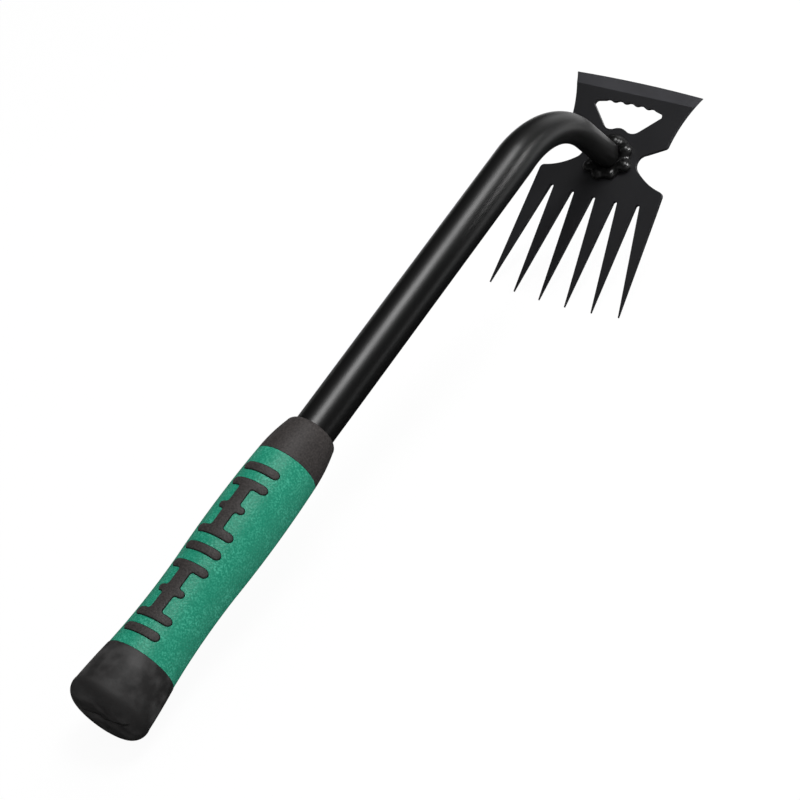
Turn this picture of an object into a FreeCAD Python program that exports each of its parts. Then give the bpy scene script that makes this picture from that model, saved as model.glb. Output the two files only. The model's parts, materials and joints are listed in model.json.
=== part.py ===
"""Hand cultivator: a steel hoe-and-rake head welded to a bent tube with a two-colour grip.

Every sub-part is modelled in a working frame and then laid down as the tool rests on a floor.
Working frame, in millimetres: the tube meets the head plate's front face at the origin, Z runs up
the plate to the hoe blade, the tube leaves along -Y, and X = 0 is the plane of symmetry.
Grip frame: Z runs along the handle from the collar to the butt, and Y points to its upper side.
"""
import FreeCAD, Part
import math
import os

import Sketcher

DIMENSIONS = {
    # head plate: the stamped blank
    "plate_thick": 2.0,
    "blade_width": 76.0,
    "blade_top": 40.4,
    "blade_crown": 0.9,
    "flare_width": 63.4,
    "flare_top": 24.0,
    "foot_width": 59.4,
    "foot_top": 11.0,
    "foot_round": 2.0,
    "throat_width": 39.6,
    "throat_top": 5.3,
    "waist_width": 32.6,
    "waist_drop": 0.8,
    "throat_low_width": 36.8,
    "throat_low_drop": 4.0,
    "flank_width": 50.4,
    "flank_drop": 8.3,
    "shoulder_width": 74.0,
    "shoulder_drop": 12.0,
    "shoulder_round": 2.5,
    # head plate: the ground bevel along the blade
    "bevel_height": 6.0,
    "edge_land": 0.4,
    # head plate: six tines, fanned about a point above the blade
    "fan_height": 257.6,
    "fan_step_angle": 2.68,
    "tine_reach": 80.8,
    "tine_tip": 0.4,
    "tine_tip_thick": 0.8,
    "gap_top_drop": 22.0,
    "gap_top_width": 2.5,
    # head plate: the window with its scalloped upper edge
    "window_width": 40.8,
    "window_corner": 25.4,
    "window_shoulder": 27.6,
    "window_inset": 1.1,
    "scallop_pitch": 6.6,
    "scallop_level": 29.3,
    "scallop_sag": 0.9,
    "scallop_wave": 0.45,
    "lobe_span": 21.6,
    "lobe_top": 15.8,
    "lobe_low": 14.1,
    "lobe_spacing": 14.0,
    "arch_span": 6.8,
    "arch_foot": 14.9,
    "arch_top": 15.7,
    # tube
    "tube_outer": 20.0,
    "tube_wall": 1.5,
    "neck_length": 29.0,
    "foot_outer": 13.8,
    "neck_outer": 14.0,
    "bend_radius": 52.0,
    "bend_angle": 67.1,
    "shank_length": 177.1,
    "tube_in_grip": 150.0,
    # weld bead
    "weld_leg": 3.4,
    "weld_rise": 4.2,
    "weld_lump": 3.4,
    "weld_lump_out": 1.0,
    "weld_lump_up": 0.8,
    "weld_lump_count": 7,
    # grip: stations along the handle, from the front of the collar, and diameters there
    "grip_turn_angle": 4.5,
    "fit_gap": 0.05,
    "nose_length": 2.9,
    "nose_round": 0.9,
    "nose_front": 21.4,
    "nose_back": 25.8,
    "collar_length": 22.0,
    "collar_mid": 29.8,
    "collar_back": 31.6,
    "belly_at": 53.0,
    "belly": 33.2,
    "turn_at": 84.8,
    "turn": 31.7,
    "waist_at": 99.0,
    "waist": 31.2,
    "sleeve_end": 134.8,
    "sleeve_back": 34.4,
    "core_outer": 25.0,
    "cap_lip": 34.8,
    "cap_mid_at": 144.8,
    "cap_mid": 37.0,
    "cap_wide_at": 155.6,
    "cap_wide": 38.7,
    "cap_corner_at": 161.4,
    "cap_corner": 36.2,
    "cap_face": 28.0,
    "grip_length": 163.6,
    "socket_gap": 0.5,
    # grip: the raised pattern
    "rib_raise": 0.6,
    "rib_first_at": 33.8,
    "rib_pitch": 46.0,
    "rib_thick": 4.7,
    "rib_span": 19.2,
    "beam_first_at": 56.6,
    "beam_pitch": 46.8,
    "flange_spacing": 27.2,
    "web_width": 6.6,
    "nub_span": 14.0,
    "nub_thick": 4.0,
    "beam_fillet": 1.2,
}

TINE_COUNT = 6
SCALLOPS = 5
RIB_BARS = 3
RIB_BEAMS = 2

# a quarter round crosses its diagonal at this share of its radius
DIAGONAL = math.sqrt(0.5)
# a shallow arc cut off at its crown has made this share of its rise at half of its run
EARLY_RISE = 0.75
# corners nearer than this to each other are the same corner
SAME_CORNER = 0.05
# the turns between which the tool's resting turn is sought, in degrees, and the halvings made
STEEPEST = -80.0
FLATTEST = -10.0
HALVINGS = 30


class Size:
    """A number together with the spreadsheet formula that gives it."""

    def __init__(self, number, formula):
        self.number = float(number)
        self.formula = formula

    def __add__(self, other):
        other = as_size(other)
        return Size(self.number + other.number, "(%s + %s)" % (self.formula, other.formula))

    def __sub__(self, other):
        other = as_size(other)
        return Size(self.number - other.number, "(%s - %s)" % (self.formula, other.formula))

    def __mul__(self, other):
        other = as_size(other)
        return Size(self.number * other.number, "(%s * %s)" % (self.formula, other.formula))

    def __truediv__(self, other):
        other = as_size(other)
        return Size(self.number / other.number, "(%s / %s)" % (self.formula, other.formula))

    def __neg__(self):
        return Size(-self.number, "(0 - %s)" % self.formula)


def as_size(value):
    """Return a Size for a plain number, and a Size unchanged."""
    if isinstance(value, Size):
        return value
    return Size(value, "%g" % value)


def cell(name):
    """Return the driving dimension of that name."""
    return Size(DIMENSIONS[name], "Dimensions.%s" % name)


def sine(angle):
    """Return the sine of an angle in degrees."""
    return Size(math.sin(math.radians(angle.number)), "sin(%s)" % angle.formula)


def cosine(angle):
    """Return the cosine of an angle in degrees."""
    return Size(math.cos(math.radians(angle.number)), "cos(%s)" % angle.formula)


ZERO = as_size(0)

doc = FreeCAD.newDocument("HandCultivator")
sheet = doc.addObject("Spreadsheet::Sheet", "Dimensions")
for row, (name, value) in enumerate(DIMENSIONS.items(), start=1):
    sheet.set("A%d" % row, name)
    sheet.set("B%d" % row, "%g" % value)
    sheet.setAlias("B%d" % row, name)
doc.recompute()


# ---------------------------------------------------------------- outlines
# An outline is a start point and a list of moves. A move is a list of one point, the end of a
# straight line, or of two points, the middle and the end of an arc. A point is a pair of Sizes.

def flipped(start, moves, across):
    """Return the outline mirrored across the vertical axis ("x") or the horizontal one ("y")."""
    def flip(point):
        if across == "x":
            return (-point[0], point[1])
        return (point[0], -point[1])
    points = [start] + [move[-1] for move in moves]
    middles = [move[:-1] for move in moves]
    back = []
    for index in range(len(moves) - 1, -1, -1):
        back.append([flip(middle) for middle in middles[index]] + [flip(points[index])])
    return flip(points[-1]), back


def whole_from_half(start, moves):
    """Return the closed outline made of one that starts and ends on the vertical axis."""
    return start, moves + flipped(start, moves, "x")[1]


def whole_from_quarter(start, moves):
    """Return the closed outline made of one that runs from the vertical axis to the other."""
    half = moves + flipped(start, moves, "y")[1]
    return whole_from_half(start, half)


def shifted(start, moves, rise):
    """Return the outline moved up its sketch."""
    def lift(point):
        return (point[0], point[1] + rise)
    return lift(start), [[lift(point) for point in move] for move in moves]


def add_sketch(body, name, plane_role):
    """Add a sketch to the body, on the body's own origin plane."""
    sketch = body.newObject("Sketcher::SketchObject", name)
    plane = [item for item in body.Origin.OriginFeatures if item.Role == plane_role][0]
    sketch.AttachmentSupport = [(plane, "")]
    sketch.MapMode = "FlatFace"
    return sketch


def vector(point):
    """Return a pair of Sizes as a vector in the sketch's plane."""
    return FreeCAD.Vector(point[0].number, point[1].number, 0)


def pinned(geometry, place, point):
    """Return the constraints that hold a sketch point at a pair of Sizes, with their formulas."""
    found = []
    for kind, axis, size in (("DistanceX", -2, point[0]), ("DistanceY", -1, point[1])):
        if size.formula == ZERO.formula:
            found.append((Sketcher.Constraint("PointOnObject", geometry, place, axis), None))
        else:
            found.append((Sketcher.Constraint(kind, -1, 1, geometry, place, size.number),
                          size.formula))
    return found


def runs_counterclockwise(start, middle, end):
    """Tell whether an arc through three points turns the way that sketch arcs do."""
    return (vector(middle) - vector(start)).cross(vector(end) - vector(start)).z > 0


def constrain(sketch, constraints):
    """Add constraints all at once, then bind those that have a formula."""
    numbers = sketch.addConstraint([constraint for constraint, formula in constraints])
    for number, (constraint, formula) in zip(numbers, constraints):
        if formula is not None:
            sketch.setExpression("Constraints[%d]" % number, formula)


def draw(sketch, start, moves, closed=True):
    """Draw an outline whose corners are all bound to their formulas."""
    shapes = []
    throughs = []
    ends = []
    here = start
    for move in moves:
        if len(move) == 1:
            shapes.append(Part.LineSegment(vector(here), vector(move[-1])))
            ends.append((1, 2))
        else:
            shapes.append(Part.Arc(vector(here), vector(move[0]), vector(move[-1])))
            throughs.append((len(shapes) - 1, move[0]))
            ends.append((1, 2) if runs_counterclockwise(here, move[0], move[-1]) else (2, 1))
        here = move[-1]
    numbers = sketch.addGeometry(shapes, False)
    constraints = pinned(numbers[0], ends[0][0], start)
    for index, move in enumerate(moves):
        last = index == len(moves) - 1
        if closed and last:
            follower = 0
        else:
            follower = index + 1
            constraints += pinned(numbers[index], ends[index][1], move[-1])
        if closed or not last:
            constraints.append((Sketcher.Constraint(
                "Coincident", numbers[index], ends[index][1],
                numbers[follower], ends[follower][0]), None))
    if throughs:
        marks = sketch.addGeometry([Part.Point(vector(point)) for index, point in throughs], True)
        for mark, (index, point) in zip(marks, throughs):
            constraints += pinned(mark, 1, point)
            constraints.append(
                (Sketcher.Constraint("PointOnObject", mark, 1, numbers[index]), None))
    constrain(sketch, constraints)


def draw_circle(sketch, radius):
    """Draw a circle round the sketch's origin."""
    circle = Part.Circle(FreeCAD.Vector(0, 0, 0), FreeCAD.Vector(0, 0, 1), radius.number)
    geometry = sketch.addGeometry(circle, False)
    constrain(sketch, [
        (Sketcher.Constraint("Coincident", geometry, 3, -1, 1), None),
        (Sketcher.Constraint("Radius", geometry, radius.number), radius.formula)])


# ---------------------------------------------------------------- features

def new_body(name):
    """Start a sub-part."""
    body = doc.addObject("PartDesign::Body", name)
    body.Label = name
    return body


def pad_past_grip(body, sketch, name):
    """Pad a sketch on both sides of its plane, past the grip's widest ring."""
    feature = body.newObject("PartDesign::Pad", name)
    feature.Profile = sketch
    feature.Midplane = True
    feature.setExpression("Length", cell("cap_wide").formula)
    return feature


def pocket_through(body, sketch, name):
    """Cut a sketch right through the sub-part, on both sides of its plane."""
    feature = body.newObject("PartDesign::Pocket", name)
    feature.Profile = sketch
    feature.Type = "ThroughAll"
    feature.Midplane = True
    return feature


def turned(body, sketch, name, kind="PartDesign::Revolution"):
    """Revolve a sketch once round its vertical axis."""
    feature = body.newObject(kind, name)
    feature.Profile = sketch
    feature.ReferenceAxis = (sketch, ["V_Axis"])
    feature.Angle = 360
    return feature


def edges_across(shape, corners):
    """Return the names of the edges that cross the plate at the given corners."""
    names = []
    for number, edge in enumerate(shape.Edges, start=1):
        ends = [vertex.Point for vertex in edge.Vertexes]
        if len(ends) != 2 or abs(ends[0].y - ends[1].y) < SAME_CORNER:
            continue
        for corner in corners:
            spot = FreeCAD.Vector(corner[0].number, 0, corner[1].number)
            gaps = [FreeCAD.Vector(end.x, 0, end.z).distanceToPoint(spot) for end in ends]
            if max(gaps) < SAME_CORNER:
                names.append("Edge%d" % number)
    return names


def both_sides(point):
    """Return a point and its mirror image across the plane of symmetry."""
    return [point, (-point[0], point[1])]


# ---------------------------------------------------------------- head plate

def make_head_plate():
    """The stamped, ground and drilled-out steel plate: hoe blade, waist and six tines."""
    body = new_body("head_plate")
    reach = cell("fan_height") + cell("tine_reach")
    outer_angle = cell("fan_step_angle") * (TINE_COUNT / 2 - 0.5)
    foot = (cell("foot_width") / 2, cell("foot_top"))
    shoulder = (cell("shoulder_width") / 2, -cell("shoulder_drop"))
    outer_tip = (reach * sine(outer_angle) + cell("tine_tip") / 2,
                 cell("fan_height") - reach * cosine(outer_angle))

    blank = add_sketch(body, "BlankOutline", "XZ_Plane")
    start = (ZERO, cell("blade_top") + cell("blade_crown"))
    half = [
        [(cell("blade_width") / 4, cell("blade_top") + cell("blade_crown") * EARLY_RISE),
         (cell("blade_width") / 2, cell("blade_top"))],
        [(cell("flare_width") / 2, cell("flare_top")), foot],
        [(cell("throat_width") / 2, cell("throat_top"))],
        [(cell("waist_width") / 2, -cell("waist_drop")),
         (cell("throat_low_width") / 2, -cell("throat_low_drop"))],
        [(cell("flank_width") / 2, -cell("flank_drop")), shoulder],
        [outer_tip],
        [(reach * sine(outer_angle / 2), cell("fan_height") - reach * cosine(outer_angle / 2)),
         (ZERO, -cell("tine_reach"))],
    ]
    draw(blank, *whole_from_half(start, half))
    pad = body.newObject("PartDesign::Pad", "Blank")
    pad.Profile = blank
    pad.Reversed = True
    pad.setExpression("Length", cell("plate_thick").formula)
    doc.recompute()

    rounded = None
    for name, corner, radius in (("FootRound", foot, "foot_round"),
                                 ("ShoulderRound", shoulder, "shoulder_round")):
        base = body.Tip
        rounded = body.newObject("PartDesign::Fillet", name)
        rounded.Base = (base, edges_across(base.Shape, both_sides(corner)))
        rounded.setExpression("Radius", cell(radius).formula)
        doc.recompute()

    window = add_sketch(body, "WindowOutline", "XZ_Plane")
    draw(window, *window_outline())
    pocket_through(body, window, "Window")
    doc.recompute()

    cut_bevel(body)
    thin_tines(body)
    cut_tine_gaps(body, reach)
    return body


def window_outline():
    """The window: a wavy upper edge, slanting sides and a lower edge of two lobes and an arch."""
    pitch = cell("scallop_pitch")
    half_run = pitch * (SCALLOPS / 2)

    def level(offset):
        share = offset / half_run
        return cell("scallop_level") - cell("scallop_sag") * share * share

    start = (ZERO, level(ZERO) + cell("scallop_wave"))
    moves = []
    # the middle wave is cut in half by the plane of symmetry
    crown_end = pitch / 4
    moves.append([(crown_end / 2, level(crown_end / 2) + cell("scallop_wave") * EARLY_RISE),
                  (crown_end, level(crown_end))])
    side = -1
    for step in range(SCALLOPS - 1):
        middle = crown_end * (2 * step + 2)
        end = crown_end * (2 * step + 3)
        moves.append([(middle, level(middle) + cell("scallop_wave") * side), (end, level(end))])
        side = -side
    corner_low = (cell("window_width") / 2, cell("window_corner"))
    corner_high = (cell("window_width") / 2 - cell("window_inset"), cell("window_shoulder"))
    late = 1 - EARLY_RISE
    corner_mid = (cell("window_width") / 2 - cell("window_inset") * late,
                  (cell("window_corner") + cell("window_shoulder")) / 2 + cell("window_inset") * late)
    moves.append([corner_high])
    moves.append([corner_mid, corner_low])
    moves.append([(cell("lobe_span") / 2, cell("lobe_top"))])
    moves.append([(cell("lobe_spacing") / 2, cell("lobe_low")),
                  (cell("arch_span") / 2, cell("arch_foot"))])
    moves.append([(cell("arch_span") / 4, cell("arch_foot") * late + cell("arch_top") * EARLY_RISE),
                  (ZERO, cell("arch_top"))])
    return whole_from_half(start, moves)


def cut_bevel(body):
    """Grind the front of the blade down to its edge."""
    profile = add_sketch(body, "BevelProfile", "YZ_Plane")
    low = cell("blade_top") - cell("bevel_height")
    high = cell("blade_top") + cell("blade_crown")
    depth = cell("plate_thick") - cell("edge_land")
    above = high + cell("bevel_height")
    draw(profile, (ZERO, low),
         [[(depth, high)], [(depth, above)], [(-cell("plate_thick"), above)],
          [(-cell("plate_thick"), low)], [(ZERO, low)]])
    pocket_through(body, profile, "Bevel")
    doc.recompute()


def thin_tines(body):
    """Grind the back of the tines so that they thin towards their points."""
    profile = add_sketch(body, "TineProfile", "YZ_Plane")
    root = -cell("gap_top_drop")
    tip = -cell("tine_reach")
    below = tip - cell("plate_thick")
    behind = cell("plate_thick") * 2
    draw(profile, (cell("plate_thick"), root),
         [[(cell("tine_tip_thick"), tip)], [(cell("tine_tip_thick"), below)], [(behind, below)],
          [(behind, root)], [(cell("plate_thick"), root)]])
    pocket_through(body, profile, "TineThinning")
    doc.recompute()


def cut_tine_gaps(body, reach):
    """Cut one V-shaped gap between tines and repeat it round the fan's centre."""
    gaps = TINE_COUNT - 1
    first_angle = cell("fan_step_angle") * (gaps / 2 - 0.5)
    gap = add_sketch(body, "TineGap", "XZ_Plane")
    gap.AttachmentOffset = FreeCAD.Placement(
        FreeCAD.Vector(0, cell("fan_height").number, 0),
        FreeCAD.Rotation(FreeCAD.Vector(0, 0, 1), -first_angle.number))
    gap.setExpression("AttachmentOffset.Base.y", cell("fan_height").formula)
    gap.setExpression("AttachmentOffset.Rotation.Angle", first_angle.formula)
    top = cell("fan_height") + cell("gap_top_drop")
    half_top = cell("gap_top_width") / 2
    half_foot = reach * sine(cell("fan_step_angle") / 2) - cell("tine_tip") / 2
    beyond = reach + cell("plate_thick")
    draw(gap, *whole_from_half(
        (ZERO, -top),
        [[(half_top * DIAGONAL, -(top + half_top * (1 - DIAGONAL))), (half_top, -(top + half_top))],
         [(half_foot, -reach)], [(half_foot, -beyond)], [(ZERO, -beyond)]]))
    pocket = pocket_through(body, gap, "Gap")
    doc.recompute()
    fan = body.newObject("PartDesign::PolarPattern", "GapFan")
    fan.Originals = [pocket]
    fan.Axis = (gap, ["N_Axis"])
    fan.Occurrences = gaps
    fan.Reversed = True
    fan.setExpression("Angle", (first_angle * 2).formula)
    body.Tip = fan
    doc.recompute()


# ---------------------------------------------------------------- tube

def tube_path():
    """The tube's centre line: neck, bend, then the straight shank that runs into the grip."""
    neck = cell("neck_length")
    bend = cell("bend_radius")
    angle = cell("bend_angle")

    def on_bend(turn):
        return (-(neck + bend * sine(turn)), -(bend * (as_size(1) - cosine(turn))))

    bend_end = on_bend(angle)
    run = cell("shank_length") + cell("tube_in_grip")
    shank_end = (bend_end[0] - run * cosine(angle), bend_end[1] - run * sine(angle))
    return (ZERO, ZERO), [[(-neck, ZERO)], [on_bend(angle / 2), bend_end], [shank_end]]


def section_on_path(body, name, distance, drop, turn, radius):
    """Draw the tube's section square to its path: distance out of the plate, drop down, turned."""
    ring = add_sketch(body, name, "XZ_Plane")
    ring.AttachmentOffset = FreeCAD.Placement(
        FreeCAD.Vector(0, -drop.number, distance.number),
        FreeCAD.Rotation(FreeCAD.Vector(1, 0, 0), turn.number))
    if distance.number:
        ring.setExpression("AttachmentOffset.Base.z", distance.formula)
    if turn.number:
        ring.setExpression("AttachmentOffset.Base.y", (-drop).formula)
        ring.setExpression("AttachmentOffset.Rotation.Angle", turn.formula)
    draw_circle(ring, radius)
    draw_circle(ring, radius - cell("tube_wall"))
    return ring


def make_tube():
    """The bent steel tube, drawn in towards its foot and open at the butt end inside the cap."""
    body = new_body("handle_tube")
    neck = cell("neck_length")
    bend = cell("bend_radius")
    angle = cell("bend_angle")
    foot = section_on_path(body, "FootSection", ZERO, ZERO, ZERO, cell("foot_outer") / 2)
    neck_line = add_sketch(body, "NeckPath", "YZ_Plane")
    draw(neck_line, (ZERO, ZERO), [[(-neck, ZERO)]], closed=False)
    neck_end = section_on_path(body, "NeckSection", neck, ZERO, ZERO, cell("neck_outer") / 2)
    add_pipe(body, "Neck", foot, neck_line, neck_end)

    bend_line = add_sketch(body, "BendPath", "YZ_Plane")
    draw(bend_line, (-neck, ZERO), tube_path()[1][1:2], closed=False)
    bend_end = section_on_path(
        body, "BendSection", neck + bend * sine(angle), bend * (as_size(1) - cosine(angle)),
        angle, cell("tube_outer") / 2)
    add_pipe(body, "Bend", neck_end, bend_line, bend_end)

    shank = body.newObject("PartDesign::Pad", "Shank")
    shank.Profile = bend_end
    shank.setExpression("Length", (cell("shank_length") + cell("tube_in_grip")).formula)
    doc.recompute()
    return body


def add_pipe(body, name, start, path, end):
    """Sweep from one section to another along a path."""
    pipe = body.newObject("PartDesign::AdditivePipe", name)
    pipe.Profile = start
    pipe.Spine = (path, [])
    pipe.Transformation = "Multisection"
    pipe.Sections = [(end, [""])]
    doc.recompute()
    return pipe


def make_weld():
    """The fillet of weld metal round the tube's foot, with the lumps of a hand-laid bead."""
    body = new_body("weld_bead")
    foot = cell("foot_outer") / 2
    rim = foot + cell("weld_leg")
    fillet = add_sketch(body, "BeadProfile", "XZ_Plane")
    inside = foot / 2
    draw(fillet, (inside, ZERO),
         [[(rim, ZERO)],
          [(foot + cell("weld_leg") * DIAGONAL, cell("weld_rise") * DIAGONAL),
           (foot, cell("weld_rise"))],
          [(inside, cell("weld_rise"))], [(inside, ZERO)]])
    turned(body, fillet, "Bead")
    doc.recompute()
    lump = body.newObject("PartDesign::AdditiveSphere", "Lump")
    lump.setExpression("Radius", cell("weld_lump").formula)
    lump.setExpression("Placement.Base.x", (foot + cell("weld_lump_out")).formula)
    lump.setExpression("Placement.Base.z", cell("weld_lump_up").formula)
    doc.recompute()
    ring = body.newObject("PartDesign::PolarPattern", "LumpRing")
    ring.Originals = [lump]
    ring.Axis = (fillet, ["V_Axis"])
    ring.Angle = 360
    ring.setExpression("Occurrences", cell("weld_lump_count").formula)
    body.Tip = ring
    doc.recompute()
    bore = add_sketch(body, "TubeHole", "XY_Plane")
    draw_circle(bore, foot)
    pocket_through(body, bore, "Hole")
    doc.recompute()
    under = add_sketch(body, "PlateSide", "XY_Plane")
    draw_circle(under, foot + cell("weld_lump_out") + cell("weld_lump") * 2)
    trim = body.newObject("PartDesign::Pocket", "PlateTrim")
    trim.Profile = under
    trim.setExpression("Length", (cell("weld_lump") * 2).formula)
    doc.recompute()
    return body


# ---------------------------------------------------------------- grip

def station(diameter, at):
    """A point of a turned profile, from a diameter and a place along the handle."""
    return (cell(diameter) / 2, cell(at))


def sleeve_surface(raised):
    """The moves along the grip's outside, from the collar's ring line to the cap's."""
    def lifted(diameter, at):
        point = station(diameter, at)
        return (point[0] + raised, point[1])
    return (lifted("collar_back", "collar_length"),
            [[lifted("belly", "belly_at"), lifted("turn", "turn_at")],
             [lifted("waist", "waist_at"), lifted("sleeve_back", "sleeve_end")]])


def bar_outline(span, thick, at):
    """A round-ended bar lying across the grip."""
    straight = span / 2 - thick / 2
    quarter_start = (ZERO, thick / 2)
    start, moves = whole_from_quarter(
        quarter_start,
        [[(straight, thick / 2)],
         [(straight + thick / 2 * DIAGONAL, thick / 2 * DIAGONAL),
          (span / 2, ZERO)]])
    return shifted(start, moves, at)


def beam_outline(at):
    """An I-shaped rib with a round-ended nub on each side of its web."""
    thick = cell("rib_thick")
    flange = cell("flange_spacing") / 2
    arm = cell("rib_span") / 2 - thick / 2
    web = cell("web_width") / 2
    fillet = cell("beam_fillet")
    nub = cell("nub_thick") / 2
    nub_arm = cell("nub_span") / 2 - nub
    near = 1 - DIAGONAL
    quarter = [
        [(arm, flange + thick / 2)],
        [(arm + thick / 2, flange), (arm, flange - thick / 2)],
        [(web + fillet, flange - thick / 2)],
        [(web + fillet * near, flange - thick / 2 - fillet * near),
         (web, flange - thick / 2 - fillet)],
        [(web, nub + fillet)],
        [(web + fillet * near, nub + fillet * near), (web + fillet, nub)],
        [(nub_arm, nub)],
        [(nub_arm + nub * DIAGONAL, nub * DIAGONAL), (nub_arm + nub, ZERO)],
    ]
    start, moves = whole_from_quarter((ZERO, flange + thick / 2), quarter)
    return shifted(start, moves, at)


def add_ribs(body, make_feature):
    """Pad or cut the bars, then the beams, each as one outline repeated along the grip."""
    rows = (("Bar", bar_outline(cell("rib_span"), cell("rib_thick"), cell("rib_first_at")),
             RIB_BARS, cell("rib_pitch")),
            ("Beam", beam_outline(cell("beam_first_at")), RIB_BEAMS, cell("beam_pitch")))
    for name, outline, count, pitch in rows:
        sketch = add_sketch(body, name + "Outline", "XZ_Plane")
        draw(sketch, *outline)
        feature = make_feature(body, sketch, name)
        doc.recompute()
        repeat = body.newObject("PartDesign::LinearPattern", name + "Row")
        repeat.Originals = [feature]
        repeat.Direction = (sketch, ["V_Axis"])
        repeat.Occurrences = count
        repeat.setExpression("Length", (pitch * (count - 1)).formula)
        body.Tip = repeat
        doc.recompute()


def cut_bore(body, name):
    """Bore a grip piece for the tube, right through."""
    bore = add_sketch(body, name + "Circle", "XY_Plane")
    draw_circle(bore, cell("tube_outer") / 2 + cell("fit_gap"))
    pocket_through(body, bore, name)
    doc.recompute()


def make_grip_core():
    """The hard black moulding: collar, inner sleeve and the ribs that show through the green."""
    body = new_body("grip_core")
    profile = add_sketch(body, "CoreProfile", "XZ_Plane")
    core = cell("core_outer") / 2
    draw(profile, (ZERO, ZERO),
         [[(cell("nose_front") / 2, ZERO)],
          [(cell("nose_back") / 2 - cell("nose_round"), cell("nose_round")),
           station("nose_back", "nose_length")],
          [(cell("collar_mid") / 2, (cell("nose_length") + cell("collar_length")) / 2),
           station("collar_back", "collar_length")],
          [(core, cell("collar_length"))], [(core, cell("sleeve_end"))],
          [(ZERO, cell("sleeve_end"))], [(ZERO, ZERO)]])
    turned(body, profile, "Core")
    doc.recompute()

    add_ribs(body, pad_past_grip)

    outside = add_sketch(body, "RibTops", "XZ_Plane")
    start, moves = sleeve_surface(cell("rib_raise"))
    far = cell("cap_wide")
    draw(outside, start,
         moves + [[(far, cell("sleeve_end"))], [(far, cell("collar_length"))], [start]])
    turned(body, outside, "RibTrim", "PartDesign::Groove")
    doc.recompute()
    cut_bore(body, "CoreBore")
    return body


def make_grip_sleeve():
    """The soft green skin, with a window for every rib."""
    body = new_body("grip_sleeve")
    profile = add_sketch(body, "SleeveProfile", "XZ_Plane")
    core = cell("core_outer") / 2
    start, moves = sleeve_surface(ZERO)
    draw(profile, start,
         moves + [[(core, cell("sleeve_end"))], [(core, cell("collar_length"))], [start]])
    turned(body, profile, "Sleeve")
    doc.recompute()
    add_ribs(body, pocket_through)
    return body


def make_butt_cap():
    """The flared black cap that closes the grip and holds the tube's end."""
    body = new_body("butt_cap")
    profile = add_sketch(body, "CapProfile", "XZ_Plane")
    bore = cell("tube_outer") / 2 + cell("fit_gap")
    socket = cell("tube_in_grip") + cell("socket_gap")
    draw(profile, (bore, cell("sleeve_end")),
         [[(cell("cap_lip") / 2, cell("sleeve_end"))],
          [station("cap_mid", "cap_mid_at"), station("cap_wide", "cap_wide_at")],
          [station("cap_corner", "cap_corner_at"), station("cap_face", "grip_length")],
          [(ZERO, cell("grip_length"))], [(ZERO, socket)], [(bore, socket)],
          [(bore, cell("sleeve_end"))]])
    turned(body, profile, "Cap")
    doc.recompute()
    return body


# ---------------------------------------------------------------- placing and writing

def grip_placement():
    """Place the grip frame on the shank, in the working frame."""
    angle = math.radians(DIMENSIONS["bend_angle"])
    moves = tube_path()[1]
    bend_end = moves[1][-1]
    shank = DIMENSIONS["shank_length"]
    corner = FreeCAD.Vector(0, bend_end[0].number - shank * math.cos(angle),
                            bend_end[1].number - shank * math.sin(angle))
    along = FreeCAD.Rotation(FreeCAD.Vector(1, 0, 0), 90 + DIMENSIONS["bend_angle"])
    about = FreeCAD.Rotation(FreeCAD.Vector(0, 0, 1), -DIMENSIONS["grip_turn_angle"])
    return FreeCAD.Placement(corner, along.multiply(about))


def weld_placement():
    """Turn the bead's frame so that its Z axis runs out along the tube."""
    return FreeCAD.Placement(
        FreeCAD.Vector(0, 0, 0), FreeCAD.Rotation(FreeCAD.Vector(1, 0, 0), 90))


def lowest(shapes, turn):
    """Return the least Z of the shapes once they are turned."""
    heights = []
    for shape in shapes:
        moved = shape.copy()
        moved.Placement = turn.multiply(moved.Placement)
        heights.append(moved.optimalBoundingBox(False).ZMin)
    return min(heights)


def rest_turn(head, cap):
    """Find the turn about X that sets the tine tips and the butt cap on one level."""
    low, high = STEEPEST, FLATTEST
    for _ in range(HALVINGS):
        angle = (low + high) / 2
        turn = FreeCAD.Placement(
            FreeCAD.Vector(0, 0, 0), FreeCAD.Rotation(FreeCAD.Vector(1, 0, 0), angle))
        if lowest([head], turn) < lowest([cap], turn):
            low = angle
        else:
            high = angle
    return turn


grip = grip_placement()
BUILT = [
    (make_head_plate(), FreeCAD.Placement()),
    (make_weld(), weld_placement()),
    (make_tube(), FreeCAD.Placement()),
    (make_grip_core(), grip),
    (make_grip_sleeve(), grip),
    (make_butt_cap(), grip),
]

for item, placement in BUILT:
    item.Placement = placement
doc.recompute()

rest = rest_turn(BUILT[0][0].Shape, BUILT[-1][0].Shape)
for item, placement in BUILT:
    item.Placement = rest.multiply(placement)
doc.recompute()

box = FreeCAD.BoundBox()
for item, placement in BUILT:
    box.add(item.Shape.optimalBoundingBox(False))
shift = FreeCAD.Placement(
    FreeCAD.Vector(-box.Center.x, -box.Center.y, -box.ZMin), FreeCAD.Rotation())
for item, placement in BUILT:
    item.Placement = shift.multiply(rest.multiply(placement))
doc.recompute()

for item in doc.Objects:
    if "Invalid" in item.State or "Error" in item.State:
        raise RuntimeError("%s did not build: %s" % (item.Label, item.State))

os.makedirs("parts", exist_ok=True)
for item, placement in BUILT:
    if item.Shape.isNull() or not item.Shape.isValid() or len(item.Shape.Solids) != 1:
        raise RuntimeError("%s is not one sound solid" % item.Label)
    item.Shape.exportStep("parts/%s.step" % item.Label)
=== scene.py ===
"""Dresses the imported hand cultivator: painted steel head and tube, two-colour moulded grip.

Everything is in metres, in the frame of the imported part. The grip's pieces are shaped in a grip
frame, with Z along the handle from the collar to the butt and Y towards the handle's upper side,
and then laid along the tube.
"""
import json
import math
from functools import partial

import bmesh
import bpy
from mathutils import Matrix, Vector
from mathutils.geometry import delaunay_2d_cdt


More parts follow.
